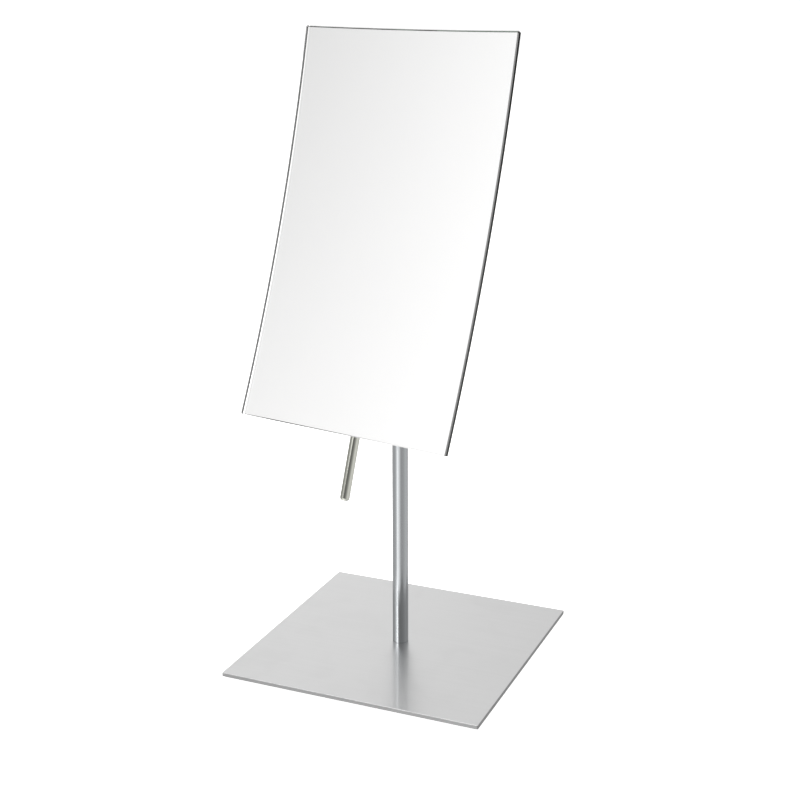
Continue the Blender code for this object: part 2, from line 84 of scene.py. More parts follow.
def neck_place():
    """The neck's axes: as the head's, but upright."""
    tilt = hinge_of("mirror_tilt")
    axis = Vector(tilt["axis"])
    swivel = math.atan2(-axis.y, -axis.x)
    return Matrix.Translation(tilt["pos_m"]) @ Matrix.Rotation(swivel, 4, "Z")


HEAD = head_place()
NECK = neck_place()
STAND = Matrix.Identity(4)


def span(node, place=STAND):
    """Lowest and highest corner of a CAD node in the axes of a place."""
    back = place.inverted()
    points = [back @ vert.co for vert in frame["nodes"][node].data.vertices]
    low = Vector(min(point[axis] for point in points) for axis in range(3))
    high = Vector(max(point[axis] for point in points) for axis in range(3))
    return low, high


# Modelling helpers

def deselect():
    bpy.ops.object.select_all(action="DESELECT")


def name_new(name):
    piece = bpy.context.active_object
    piece.name = name
    piece.data.name = name
    return piece


def enter(piece, mode="FACE"):
    """Open a piece in edit mode with nothing selected."""
    deselect()
    piece.select_set(True)
    bpy.context.view_layer.objects.active = piece
    bpy.ops.object.mode_set(mode="EDIT")
    bpy.ops.mesh.select_mode(type=mode)
    bpy.ops.mesh.select_all(action="DESELECT")


def leave():
    bpy.ops.object.mode_set(mode="OBJECT")


def pick_faces(piece, test):
    shape = bmesh.from_edit_mesh(piece.data)
    for face in shape.faces:
        face.select = test(face)
    shape.select_flush_mode()
    bmesh.update_edit_mesh(piece.data)


def pick_edges(piece, test):
    shape = bmesh.from_edit_mesh(piece.data)
    for edge in shape.edges:
        edge.select = test(edge)
    bmesh.update_edit_mesh(piece.data)


def edge_axis(edge):
    return (edge.verts[1].co - edge.verts[0].co).normalized()


def middle(edge):
    return (edge.verts[0].co + edge.verts[1].co) / 2


def new_block(name, low, high):
    """A box between two corners, its size in its mesh."""
    deselect()
    bpy.ops.mesh.primitive_cube_add(size=1, location=(low + high) / 2)
    piece = name_new(name)
    bpy.ops.object.mode_set(mode="EDIT")
    bpy.ops.mesh.select_all(action="SELECT")
    bpy.ops.transform.resize(value=high - low)
    leave()
    settle(piece)
    return piece


def new_rod(name, radius, low, high, sides=96):
    """An upright closed cylinder on the Z axis."""
    deselect()
    bpy.ops.mesh.primitive_cylinder_add(vertices=sides, radius=radius, depth=high - low,
                                        location=(0, 0, (low + high) / 2))
    piece = name_new(name)
    settle(piece)
    return piece


def settle(piece):
    """Put a piece's place into its mesh."""
    piece.data.transform(piece.matrix_basis)
    piece.matrix_basis = Matrix.Identity(4)


def move(piece, matrix):
    piece.data.transform(matrix)


def ease(piece, test, width, segments=3):
    """Bevel the edges that a test picks."""
    enter(piece, "EDGE")
    pick_edges(piece, test)
    bpy.ops.mesh.bevel(offset=width, segments=segments, affect="EDGES", profile=0.5)
    leave()


def grow(piece, test, steps):
    """Extrude the picked end face up its axis in steps of (rise, factor of its width)."""
    enter(piece)
    pick_faces(piece, test)
    for rise, factor in steps:
        bpy.ops.mesh.extrude_region_move(TRANSFORM_OT_translate={"value": (0, 0, rise)})
        if factor != 1:
            bpy.ops.transform.resize(value=(factor, factor, 1), center_override=(0, 0, 0))
    leave()


def apply_boolean(piece, tool, operation):
    deselect()
    bpy.context.view_layer.objects.active = piece
    cut = piece.modifiers.new("cut", "BOOLEAN")
    cut.object = tool
    cut.operation = operation
    cut.solver = "EXACT"
    bpy.ops.object.modifier_apply(modifier=cut.name)
    bpy.data.objects.remove(tool, do_unlink=True)


def drill(piece, radius, low, high, place=STAND, sides=48):
    """A round hole on the Z axis of a place."""
    tool = new_rod("drill", radius, low, high, sides)
    move(tool, place)
    apply_boolean(piece, tool, "DIFFERENCE")


def hex_socket(piece, flats, low, high, place=STAND):
    drill(piece, flats / math.sqrt(3), low, high, place, sides=6)


def round_edges(piece, width, segments=3, angle=35):
    """Round every sharp edge with a Bevel modifier, applied."""
    deselect()
    bpy.context.view_layer.objects.active = piece
    eased = piece.modifiers.new("eased", "BEVEL")
    eased.width = width
    eased.segments = segments
    eased.limit_method = "ANGLE"
    eased.angle_limit = math.radians(angle)
    eased.harden_normals = False
    bpy.ops.object.modifier_apply(modifier=eased.name)


def smooth(piece, angle=35):
    """Smooth shading between rounded edges, with the broad faces kept flat."""
    deselect()
    piece.select_set(True)
    bpy.context.view_layer.objects.active = piece
    bpy.ops.object.shade_smooth_by_angle(angle=math.radians(angle))
    flat = piece.modifiers.new("flat", "WEIGHTED_NORMAL")
    flat.keep_sharp = True
    bpy.ops.object.modifier_apply(modifier=flat.name)


def finish_piece(piece, body, slot_name, materials, *nodes, angle=35):
    """Materials, shading, and which body and CAD nodes a piece belongs to."""
    for material in materials:
        if material.name not in piece.data.materials:
            piece.data.materials.append(material)
    smooth(piece, angle)
    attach(piece, body)
    if nodes:
        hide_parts(*nodes)


# Node helpers

def add_node(tree, kind, **settings):
    node = tree.nodes.new(kind)
    for name, value in settings.items():
        setattr(node, name, value)
    return node


def set_inputs(node, **values):
    for name, value in values.items():
        node.inputs[name.replace("_", " ")].default_value = value
    return node


def math_node(tree, operation, first, second=None):
    node = add_node(tree, "ShaderNodeMath", operation=operation)
    for socket, value in zip(node.inputs, (first, second)):
        if isinstance(value, bpy.types.NodeSocket):
            tree.links.new(value, socket)
        elif value is not None:
            socket.default_value = value
    return node.outputs[0]


def new_group(name, inputs, outputs):
    group = bpy.data.node_groups.new(name, "ShaderNodeTree")
    for socket_name, socket_type, value in inputs:
        socket = group.interface.new_socket(name=socket_name, in_out="INPUT", socket_type=socket_type)
        if value is not None:
            socket.default_value = value
    for socket_name, socket_type in outputs:
        group.interface.new_socket(name=socket_name, in_out="OUTPUT", socket_type=socket_type)
    entry = group.nodes.new("NodeGroupInput")
    exit_node = group.nodes.new("NodeGroupOutput")
    return group, entry, exit_node


def make_grain_group():
    """Straight brushing: fine lines along X of the given vector, and broader bands among them."""
    group, entry, out = new_group(
        "brushed_grain",
        [("Vector", "NodeSocketVector", None), ("Fine Lines", "NodeSocketFloat", 9000.0),
         ("Stretch", "NodeSocketFloat", 0.012)],
        [("Lines", "NodeSocketFloat"), ("Bands", "NodeSocketFloat")])
    links = group.links
    squeeze = add_node(group, "ShaderNodeCombineXYZ")
    squeeze.inputs["Y"].default_value = 1
    squeeze.inputs["Z"].default_value = 1
    links.new(entry.outputs["Stretch"], squeeze.inputs["X"])
    stretched = add_node(group, "ShaderNodeVectorMath", operation="MULTIPLY")
    links.new(entry.outputs["Vector"], stretched.inputs[0])
    links.new(squeeze.outputs[0], stretched.inputs[1])
    lines = set_inputs(add_node(group, "ShaderNodeTexNoise"), Detail=3.0, Roughness=0.6)
    links.new(stretched.outputs[0], lines.inputs["Vector"])
    links.new(entry.outputs["Fine Lines"], lines.inputs["Scale"])
    bands = set_inputs(add_node(group, "ShaderNodeTexNoise"), Detail=4.0, Roughness=0.55)
    links.new(stretched.outputs[0], bands.inputs["Vector"])
    links.new(math_node(group, "MULTIPLY", entry.outputs["Fine Lines"], 0.06), bands.inputs["Scale"])
    links.new(lines.outputs["Fac"], out.inputs["Lines"])
    links.new(bands.outputs["Fac"], out.inputs["Bands"])
    return group


def make_handling_group():
    """Faint marks of handling and wiping: cloudy smears and a few thin hair scratches."""
    group, entry, out = new_group(
        "handling_marks",
        [("Vector", "NodeSocketVector", None), ("Size", "NodeSocketFloat", 60.0)],
        [("Smears", "NodeSocketFloat"), ("Scratches", "NodeSocketFloat")])
    links = group.links
    smears = set_inputs(add_node(group, "ShaderNodeTexNoise"), Detail=5.0, Roughness=0.6, Distortion=0.8)
    links.new(entry.outputs["Vector"], smears.inputs["Vector"])
    links.new(entry.outputs["Size"], smears.inputs["Scale"])
    soft = set_inputs(add_node(group, "ShaderNodeMapRange", interpolation_type="SMOOTHSTEP"),
                      From_Min=0.45, From_Max=0.75)
    links.new(smears.outputs["Fac"], soft.inputs["Value"])
    lines = set_inputs(add_node(group, "ShaderNodeTexWave", wave_type="BANDS", bands_direction="DIAGONAL"),
                       Distortion=14.0, Detail=3.0, Detail_Scale=1.5)
    links.new(entry.outputs["Vector"], lines.inputs["Vector"])
    links.new(math_node(group, "MULTIPLY", entry.outputs["Size"], 2.0), lines.inputs["Scale"])
    thin = set_inputs(add_node(group, "ShaderNodeMapRange", interpolation_type="SMOOTHSTEP"),
                      From_Min=0.985, From_Max=1.0)
    links.new(lines.outputs["Fac"], thin.inputs["Value"])
    links.new(soft.outputs["Result"], out.inputs["Smears"])
    links.new(thin.outputs["Result"], out.inputs["Scratches"])
    return group


def make_wear_group():
    """How much an edge is rubbed: bright where the surface turns, broken up by noise."""
    group, entry, out = new_group(
        "edge_wear",
        [("Vector", "NodeSocketVector", None), ("Width", "NodeSocketFloat", 0.0006)],
        [("Wear", "NodeSocketFloat")])
    links = group.links
    geometry = add_node(group, "ShaderNodeNewGeometry")
    rounded = add_node(group, "ShaderNodeBevel", samples=4)
    links.new(entry.outputs["Width"], rounded.inputs["Radius"])
    turn = add_node(group, "ShaderNodeVectorMath", operation="DOT_PRODUCT")
    links.new(geometry.outputs["True Normal"], turn.inputs[0])
    links.new(rounded.outputs["Normal"], turn.inputs[1])
    edge = set_inputs(add_node(group, "ShaderNodeMapRange"), From_Min=0.995, From_Max=0.8)
    links.new(turn.outputs["Value"], edge.inputs["Value"])
    noise = set_inputs(add_node(group, "ShaderNodeTexNoise"), Scale=900.0, Detail=3.0)
    links.new(entry.outputs["Vector"], noise.inputs["Vector"])
    worn = math_node(group, "MULTIPLY", edge.outputs["Result"], noise.outputs["Fac"])
    links.new(worn, out.inputs["Wear"])
    return group


GRAIN = make_grain_group()
HANDLING = make_handling_group()
WEAR = make_wear_group()


def new_material(name):
    material = bpy.data.materials.new(name)
    material.use_nodes = True
    tree = material.node_tree
    return material, tree, tree.nodes["Principled BSDF"]


def placed_vector(tree, place):
    """Object coordinates turned into the axes of a place."""
    coords = add_node(tree, "ShaderNodeTexCoord")
    mapping = add_node(tree, "ShaderNodeMapping", vector_type="POINT")
    back = place.inverted()
    mapping.inputs["Rotation"].default_value = back.to_euler()
    mapping.inputs["Location"].default_value = back.to_translation()
    tree.links.new(coords.outputs["Object"], mapping.inputs["Vector"])
    return mapping.outputs["Vector"]


def group_node(tree, group, vector, **values):
    node = add_node(tree, "ShaderNodeGroup", node_tree=group)
    tree.links.new(vector, node.inputs["Vector"])
    return set_inputs(node, **values)


def scaled(tree, value, low, high):
    """A 0 to 1 value spread between two others."""
    node = set_inputs(add_node(tree, "ShaderNodeMapRange"), To_Min=low, To_Max=high)
    tree.links.new(value, node.inputs["Value"])
    return node.outputs["Result"]


def blend_colors(tree, factor, first, second):
    node = add_node(tree, "ShaderNodeMix", data_type="RGBA")
    tree.links.new(factor, node.inputs["Factor"])
    node.inputs["A"].default_value = (*first, 1)
    node.inputs["B"].default_value = (*second, 1)
    return node.outputs["Result"]


def brushed_metal(name, dark, light, rough, place=STAND, swap=None, lines=9000.0, stretch=0.012, coat=0.0):
    """Brushed metal with its lines along X of a place, or along another axis that swap brings to X."""
    material, tree, shader = new_material(name)
    vector = placed_vector(tree, place)
    if swap is not None:
        split = add_node(tree, "ShaderNodeSeparateXYZ")
        join = add_node(tree, "ShaderNodeCombineXYZ")
        tree.links.new(vector, split.inputs[0])
        for source, target in zip(swap, "XYZ"):
            tree.links.new(split.outputs[source], join.inputs[target])
        vector = join.outputs[0]
    grain = group_node(tree, GRAIN, vector, Fine_Lines=lines, Stretch=stretch)
    marks = group_node(tree, HANDLING, vector, Size=45.0)
    mixed = math_node(tree, "MULTIPLY_ADD", grain.outputs["Bands"], 0.6)
    mixed.node.inputs[2].default_value = 0.0
    tree.links.new(math_node(tree, "MULTIPLY", grain.outputs["Lines"], 0.4), mixed.node.inputs[2])
    tree.links.new(blend_colors(tree, mixed, dark, light), shader.inputs["Base Color"])
    base_rough = scaled(tree, grain.outputs["Lines"], rough[0], rough[1])
    smeared = math_node(tree, "MULTIPLY", marks.outputs["Smears"], 0.05)
    tree.links.new(math_node(tree, "ADD", base_rough, smeared), shader.inputs["Roughness"])
    bump_node = set_inputs(add_node(tree, "ShaderNodeBump"), Strength=0.02, Distance=0.0002)
    tree.links.new(grain.outputs["Lines"], bump_node.inputs["Height"])
    tree.links.new(bump_node.outputs["Normal"], shader.inputs["Normal"])
    shader.inputs["Metallic"].default_value = 1
    shader.inputs["Coat Weight"].default_value = coat
    shader.inputs["Coat Roughness"].default_value = 0.04
    return material


def polished_metal(name, dark, light, rough, place=STAND):
    """Polished metal with wiping marks."""
    material, tree, shader = new_material(name)
    vector = placed_vector(tree, place)
    marks = group_node(tree, HANDLING, vector, Size=120.0)
    wear = group_node(tree, WEAR, vector, Width=0.0004)
    tree.links.new(blend_colors(tree, marks.outputs["Smears"], dark, light), shader.inputs["Base Color"])
    smeared = scaled(tree, marks.outputs["Smears"], rough[0], rough[1])
    worn = math_node(tree, "MULTIPLY", wear.outputs["Wear"], 0.1)
    tree.links.new(math_node(tree, "ADD", smeared, worn), shader.inputs["Roughness"])
    bump_node = set_inputs(add_node(tree, "ShaderNodeBump"), Strength=0.05, Distance=0.0001)
    tree.links.new(marks.outputs["Scratches"], bump_node.inputs["Height"])
    tree.links.new(bump_node.outputs["Normal"], shader.inputs["Normal"])
    shader.inputs["Metallic"].default_value = 1
    return material


def clear_glass():
    material, tree, shader = new_material("clear_glass")
    shader.inputs["Base Color"].default_value = (0.985, 0.995, 0.985, 1)
    shader.inputs["Roughness"].default_value = 0
    shader.inputs["IOR"].default_value = 1.52
    shader.inputs["Transmission Weight"].default_value = 1
    tint = add_node(tree, "ShaderNodeVolumeAbsorption")
    tint.inputs["Color"].default_value = (0.30, 0.45, 0.35, 1)
    tint.inputs["Density"].default_value = 12
    tree.links.new(tint.outputs[0], tree.nodes["Material Output"].inputs["Volume"])
    return material


def silvering():
    material, tree, shader = new_material("silvering")
    vector = placed_vector(tree, HEAD)
    noise = set_inputs(add_node(tree, "ShaderNodeTexNoise"), Scale=25.0, Detail=2.0)
    tree.links.new(vector, noise.inputs["Vector"])
    tree.links.new(blend_colors(tree, noise.outputs["Fac"], (0.975, 0.955, 0.968), (0.985, 0.965, 0.978)),
                   shader.inputs["Base Color"])
    shader.inputs["Metallic"].default_value = 1
    shader.inputs["Roughness"].default_value = 0.015
    return material


def backing_paint():
    material, tree, shader = new_material("backing_paint")
    vector = placed_vector(tree, HEAD)
    noise = set_inputs(add_node(tree, "ShaderNodeTexNoise"), Scale=400.0, Detail=4.0)
    tree.links.new(vector, noise.inputs["Vector"])
    tree.links.new(blend_colors(tree, noise.outputs["Fac"], (0.20, 0.215, 0.21), (0.27, 0.285, 0.28)),
                   shader.inputs["Base Color"])
    tree.links.new(scaled(tree, noise.outputs["Fac"], 0.35, 0.6), shader.inputs["Roughness"])
    bump_node = set_inputs(add_node(tree, "ShaderNodeBump"), Strength=0.15, Distance=0.0001)
    tree.links.new(noise.outputs["Fac"], bump_node.inputs["Height"])
    tree.links.new(bump_node.outputs["Normal"], shader.inputs["Normal"])
    return material


def moulded(name, dark, light, rough, scale=700.0, bump=0.2):
    """Rubber, plastic or foam with a fine moulded texture."""
    material, tree, shader = new_material(name)
    coords = add_node(tree, "ShaderNodeTexCoord")
    vector = coords.outputs["Object"]
    noise = set_inputs(add_node(tree, "ShaderNodeTexNoise"), Scale=scale, Detail=4.0)
    tree.links.new(vector, noise.inputs["Vector"])
    tree.links.new(blend_colors(tree, noise.outputs["Fac"], dark, light), shader.inputs["Base Color"])
    tree.links.new(scaled(tree, noise.outputs["Fac"], rough[0], rough[1]), shader.inputs["Roughness"])
    bump_node = set_inputs(add_node(tree, "ShaderNodeBump"), Strength=bump, Distance=0.0001)
    tree.links.new(noise.outputs["Fac"], bump_node.inputs["Height"])
    tree.links.new(bump_node.outputs["Normal"], shader.inputs["Normal"])
    return material


PLATE_STEEL = brushed_metal("plate_steel", (0.55, 0.55, 0.55), (0.615, 0.615, 0.615), (0.27, 0.38),
                            coat=0.7)
# Steel for the plate's sides: rougher, as a cut edge is, and a darker colour that is painted shade,
# standing in for the reflection of the shadowed floor right beside the plate.
SHADED_EDGE_STEEL = brushed_metal("cut_edge_steel_painted_shade", (0.34, 0.34, 0.34), (0.44, 0.44, 0.44), (0.35, 0.50))
SHEET_STEEL = brushed_metal("sheet_steel", (0.56, 0.56, 0.56), (0.66, 0.66, 0.66), (0.24, 0.38), HEAD)
POST_STEEL = brushed_metal("post_steel", (0.55, 0.57, 0.585), (0.61, 0.63, 0.645), (0.13, 0.22), STAND,
                           swap="ZYX", lines=7000.0)
NECK_STEEL = brushed_metal("neck_steel", (0.55, 0.57, 0.585), (0.61, 0.63, 0.645), (0.15, 0.26), NECK,
                           lines=7000.0, stretch=0.05)
BRACKET_STEEL = brushed_metal("bracket_steel", (0.55, 0.57, 0.585), (0.61, 0.63, 0.645), (0.15, 0.28), HEAD,
                              lines=7000.0, stretch=0.05)
ROD_STEEL = polished_metal("rod_steel", (0.76, 0.765, 0.69), (0.81, 0.815, 0.75), (0.04, 0.08), HEAD)
BOLT_STEEL = polished_metal("bolt_steel", (0.62, 0.62, 0.60), (0.68, 0.68, 0.66), (0.08, 0.16), HEAD)
ZINC = polished_metal("zinc_plate", (0.55, 0.57, 0.62), (0.63, 0.65, 0.68), (0.28, 0.40))
NYLON = moulded("natural_nylon", (0.72, 0.71, 0.66), (0.80, 0.79, 0.75), (0.35, 0.5), bump=0.08)
RUBBER = moulded("black_rubber", (0.018, 0.018, 0.018), (0.035, 0.035, 0.035), (0.6, 0.85), 1500.0, 0.4)
FOAM = moulded("foam_tape", (0.05, 0.05, 0.05), (0.10, 0.10, 0.10), (0.8, 0.95), 2500.0, 0.8)
GLASS = clear_glass()
SILVER = silvering()
PAINT = backing_paint()


# Stand

def is_upright(edge):
    return abs(edge_axis(edge).z) > 0.99


def make_base_plate():
    low, high = span("base_plate")
    corner_radius = 0.6 * MM
    rim = 0.35 * MM
    plate = new_block("base_plate_brushed", low, high)
    ease(plate, is_upright, corner_radius, 6)
    ease(plate, lambda edge: not is_upright(edge) and len(edge.link_faces) == 2
         and abs(edge.link_faces[0].normal.z - edge.link_faces[1].normal.z) > 0.5, rim, 3)
    sink_radius = span("base_screw")[1].x + 0.35 * MM
    sink_depth = 2.2 * MM
    hole_radius = 2.45 * MM
    drill(plate, hole_radius, low.z - MM, high.z + MM)
    deselect()
    bpy.ops.mesh.primitive_cone_add(vertices=64, radius1=sink_radius, radius2=hole_radius,
                                    depth=sink_depth, location=(0, 0, low.z + sink_depth / 2))
    sink = name_new("sink")
    settle(sink)
    enter(sink)
    pick_faces(sink, lambda face: face.normal.z < -0.9)
    bpy.ops.mesh.extrude_region_move(TRANSFORM_OT_translate={"value": (0, 0, -MM)})
    leave()
    apply_boolean(plate, sink, "DIFFERENCE")
    plate.data.materials.append(PLATE_STEEL)
    plate.data.materials.append(SHADED_EDGE_STEEL)
    # Faces on the rim take the darker edge steel, whose colour holds painted shade.
    for face in plate.data.polygons:
        on_rim = abs(face.normal.z) < 0.3 and max(abs(face.center.x), abs(face.center.y)) > high.x - MM
        face.material_index = 1 if on_rim else 0
    finish_piece(plate, "stand", "brushed_steel", [PLATE_STEEL, SHADED_EDGE_STEEL], "base_plate")


def make_feet():
    plate_bottom = span("base_plate")[0].z
    inset = 1.2 * MM
    for side in ("front_left", "front_right", "rear_left", "rear_right"):
        node = f"foot_{side}"
        low, high = span(node)
        centre = (low + high) / 2
        radius = (high.x - low.x) / 2
        foot = new_rod(f"rubber_{node}", radius, low.z, plate_bottom, 64)
        enter(foot)
        pick_faces(foot, lambda face: face.normal.z < -0.9)
        bpy.ops.mesh.inset(thickness=inset)
        bpy.ops.mesh.inset(thickness=inset / 3)
        bpy.ops.transform.translate(value=(0, 0, 0.2 * MM))
        leave()
        round_edges(foot, 0.12 * MM, 2)
        move(foot, Matrix.Translation((centre.x, centre.y, 0)))
        finish_piece(foot, "stand", "rubber", [RUBBER], node)


def make_post():
    high = span("post_tube")[1]
    plate_top = span("base_plate")[1].z
    wall = 1.2 * MM
    post = new_rod("post_satin", high.x, plate_top, high.z, 128)
    enter(post)
    pick_faces(post, lambda face: abs(face.normal.z) > 0.9)
    bpy.ops.mesh.inset(thickness=wall)
    bpy.ops.mesh.delete(type="FACE")
    bpy.ops.mesh.select_mode(type="EDGE")
    pick_edges(post, lambda edge: edge.is_boundary)
    bpy.ops.mesh.bridge_edge_loops()
    leave()
    round_edges(post, 0.2 * MM, 3)
    finish_piece(post, "stand", "satin_steel", [POST_STEEL], "post_tube")


def make_bush():
    low, high = span("swivel_bush")
    flange = 1 * MM
    sleeve = 3.25 * MM
    bush = new_rod("swivel_bush_moulded", high.x, high.z - flange, high.z, 96)
    enter(bush)
    pick_faces(bush, lambda face: face.normal.z < -0.9)
    bpy.ops.mesh.inset(thickness=high.x - sleeve)
    bpy.ops.mesh.extrude_region_move(TRANSFORM_OT_translate={"value": (0, 0, low.z - high.z + flange)})
    leave()
    drill(bush, BOLT_BORE, low.z - MM, high.z + MM, sides=64)
    round_edges(bush, 0.12 * MM, 2)
    finish_piece(bush, "stand", "nylon", [NYLON], "swivel_bush")


make_base_plate()
make_feet()
make_post()
make_bush()


# Neck

SIDEWAYS = Matrix.Rotation(math.pi / 2, 4, "Y")  # brings Z to X
BACKWARDS = Matrix.Rotation(-math.pi / 2, 4, "X")  # brings Z to Y


def make_knuckle():
    low, high = span("knuckle", NECK)
    tongue_radius = high.z
    half_thick = 2.5 * MM
    collar_radius = high.x
    collar_top = -10 * MM
    collar_low = -14 * MM
    foot_half = 4.2 * MM
    tongue = new_rod("knuckle_satin", tongue_radius, -half_thick, half_thick, 96)
    move(tongue, SIDEWAYS)
    neck = new_block("neck", Vector((-half_thick, -tongue_radius, collar_top - 2 * MM)),
                     Vector((half_thick, tongue_radius, 0)))
    enter(neck, "VERT")
    shape = bmesh.from_edit_mesh(neck.data)
    for vert in shape.verts:
        vert.select = vert.co.z < collar_top
    bmesh.update_edit_mesh(neck.data)
    bpy.ops.transform.resize(value=(1, foot_half / tongue_radius, 1), center_override=(0, 0, 0))
    leave()
    apply_boolean(tongue, neck, "UNION")
    collar = new_rod("collar", collar_radius, collar_low, collar_top, 96)
    ease(collar, lambda edge: edge_axis(edge).z < 0.5 and middle(edge).z > collar_top - NEAR, 0.5 * MM, 4)
    stud_radius = 1.95 * MM
    thread_radius = 1.3 * MM
    thread_length = 7 * MM
    grow(collar, lambda face: face.normal.z < -0.9,
         [(0, stud_radius / collar_radius), (low.z + thread_length - collar_low, 1),
          (0, thread_radius / stud_radius), (-thread_length, 1)])
    apply_boolean(tongue, collar, "UNION")
    drill(tongue, BOLT_BORE, -PAST, PAST, SIDEWAYS)
    round_edges(tongue, 0.3 * MM, 3)
    move(tongue, NECK)
    finish_piece(tongue, "neck", "satin_steel", [NECK_STEEL], "knuckle")


make_knuckle()


# Head

def dish(piece, depth, thickness, front):
    """Bend a flat slab in the XZ plane to the sphere of the mirror, at a depth behind its face."""
    centre = front - MIRROR_CURVE_RADIUS
    for vert in piece.data.vertices:
        radius = MIRROR_CURVE_RADIUS + depth + (thickness if vert.co.y > thickness / 2 else 0)
        vert.co.y = centre + math.sqrt(radius ** 2 - vert.co.x ** 2 - vert.co.z ** 2)


def new_sheet(name, width, height, depth, thickness, front, cell):
    """A dished rectangle with its thickness behind its front face."""
    deselect()
    bpy.ops.mesh.primitive_grid_add(x_subdivisions=round(width / cell), y_subdivisions=round(height / cell),
                                    size=1)
    sheet = name_new(name)
    bpy.ops.object.mode_set(mode="EDIT")
    bpy.ops.mesh.select_all(action="SELECT")
    bpy.ops.transform.resize(value=(width, height, 1))
    leave()
    move(sheet, Matrix.Rotation(math.pi / 2, 4, "X"))
    enter(sheet)
    bpy.ops.mesh.select_all(action="SELECT")
    bpy.ops.mesh.extrude_region_move(TRANSFORM_OT_translate={"value": (0, thickness, 0)})
    bpy.ops.mesh.select_all(action="SELECT")
    bpy.ops.mesh.normals_make_consistent(inside=False)
    leave()
    dish(sheet, depth, thickness, front)
    return sheet


GLASS_LOW, GLASS_HIGH = span("mirror_glass", HEAD)
GLASS_THICKNESS = 2.6 * MM
GLASS_FRONT = GLASS_HIGH.y - GLASS_THICKNESS
FACE_SHARE = MIRROR_CURVE_RADIUS / (MIRROR_CURVE_RADIUS + GLASS_THICKNESS)  # of the back's size
GLASS_WIDTH = GLASS_HIGH.x - GLASS_LOW.x
GLASS_HEIGHT = (GLASS_HIGH.z - GLASS_LOW.z) * FACE_SHARE
GLASS_CELL = 3.2 * MM  # size of a facet on the glass and its silver


def depth_in_glass(point):
    """How far behind the curved face of the glass a point lies."""
    centre = Vector((0, GLASS_FRONT - MIRROR_CURVE_RADIUS, 0))
    return (point - centre).length - MIRROR_CURVE_RADIUS


def is_front_rim(edge):
    return edge.calc_face_angle(0) > SHARP and depth_in_glass(middle(edge)) < 0.6 * GLASS_THICKNESS


def is_back_rim(edge):
    return edge.calc_face_angle(0) > SHARP and depth_in_glass(middle(edge)) > 0.6 * GLASS_THICKNESS


def make_glass():
    glass = new_sheet("mirror_glass_clear", GLASS_WIDTH, GLASS_HEIGHT, 0, GLASS_THICKNESS, GLASS_FRONT,
                      GLASS_CELL)
    ease(glass, is_front_rim, 0.6 * MM, 1)
    ease(glass, is_back_rim, 0.12 * MM, 1)
    move(glass, HEAD)
    finish_piece(glass, "head", "mirror", [GLASS], "mirror_glass", angle=10)


def make_silvering():
    side_gap = 0.02 * MM
    depth = GLASS_THICKNESS - SILVER_INSET
    silver = new_sheet("mirror_silvering", GLASS_WIDTH - 2 * side_gap, GLASS_HEIGHT - 2 * side_gap, depth,
                       SILVER_THICKNESS, GLASS_FRONT, GLASS_CELL)
    silver.data.materials.append(SILVER)
    silver.data.materials.append(PAINT)
    for face in silver.data.polygons:
        face.material_index = 0 if face.normal.y < -0.9 else 1
    move(silver, HEAD)
    finish_piece(silver, "head", "mirror", [SILVER, PAINT], angle=10)


def make_back_sheet():
    low, high = span("back_plate", HEAD)
    thickness = 0.8 * MM
    cell = 4 * MM
    screw_hole = 1.6 * MM
    reach = 5 * MM
    depth = high.y - thickness - GLASS_FRONT
    sheet = new_sheet("back_plate_brushed", high.x - low.x, high.z - low.z, depth, thickness, GLASS_FRONT,
                      cell)
    for index in range(1, 4):
        drill(sheet, screw_hole, -reach, reach, screw_place(index), 32)
    round_edges(sheet, 0.2 * MM, 2, 60)
    move(sheet, HEAD)
    finish_piece(sheet, "head", "brushed_steel", [SHEET_STEEL], "back_plate", angle=30)


def screw_place(index):
    """A bracket screw's axis, pointing back, at the sheet."""
    low, high = span(f"bracket_screw_{index}", HEAD)
    centre = (low + high) / 2
    return Matrix.Translation(centre) @ BACKWARDS


def make_bracket():
    low, high = span("bracket", HEAD)
    radius = high.x
    boss_back = -6.3 * MM
    ear_radius = 6 * MM
    ear_inner = 3.6 * MM
    ear_outer = 6.6 * MM
    bracket = new_rod("bracket_satin", radius, low.y, boss_back, 128)
    move(bracket, BACKWARDS)
    flat = new_block("flat", Vector((-radius, low.y - MM, low.z - 4 * MM)),
                     Vector((radius, boss_back + MM, low.z)))
    apply_boolean(bracket, flat, "DIFFERENCE")
    round_edges(bracket, 0.8 * MM, 4, 50)
    for side in (-1, 1):
        ear = new_block("ear", Vector((ear_inner, boss_back - 2 * MM, -ear_radius)),
                        Vector((ear_outer, ear_radius, ear_radius)))
        if side < 0:
            move(ear, Matrix.Translation((-ear_inner - ear_outer, 0, 0)))
        ease(ear, lambda edge: abs(edge_axis(edge).x) > 0.9 and middle(edge).y > 0, ear_radius * 0.999, 24)
        ease(ear, lambda edge: abs(edge_axis(edge).x) < 0.1 and len(edge.link_faces) == 2
             and abs(edge.link_faces[0].normal.x) + abs(edge.link_faces[1].normal.x) > 0.9, 0.35 * MM, 3)
        apply_boolean(bracket, ear, "UNION")
    drill(bracket, BOLT_BORE, -PAST, PAST, SIDEWAYS)
    rod_low, rod_high = span("handle_rod", HEAD)
    socket = Matrix.Translation((0, (rod_low.y + rod_high.y) / 2, 0))
    drill(bracket, BOLT_BORE, low.z - MM, rod_high.z + 0.3 * MM, socket)
    move(bracket, HEAD)
    finish_piece(bracket, "head", "satin_steel", [BRACKET_STEEL], "bracket")


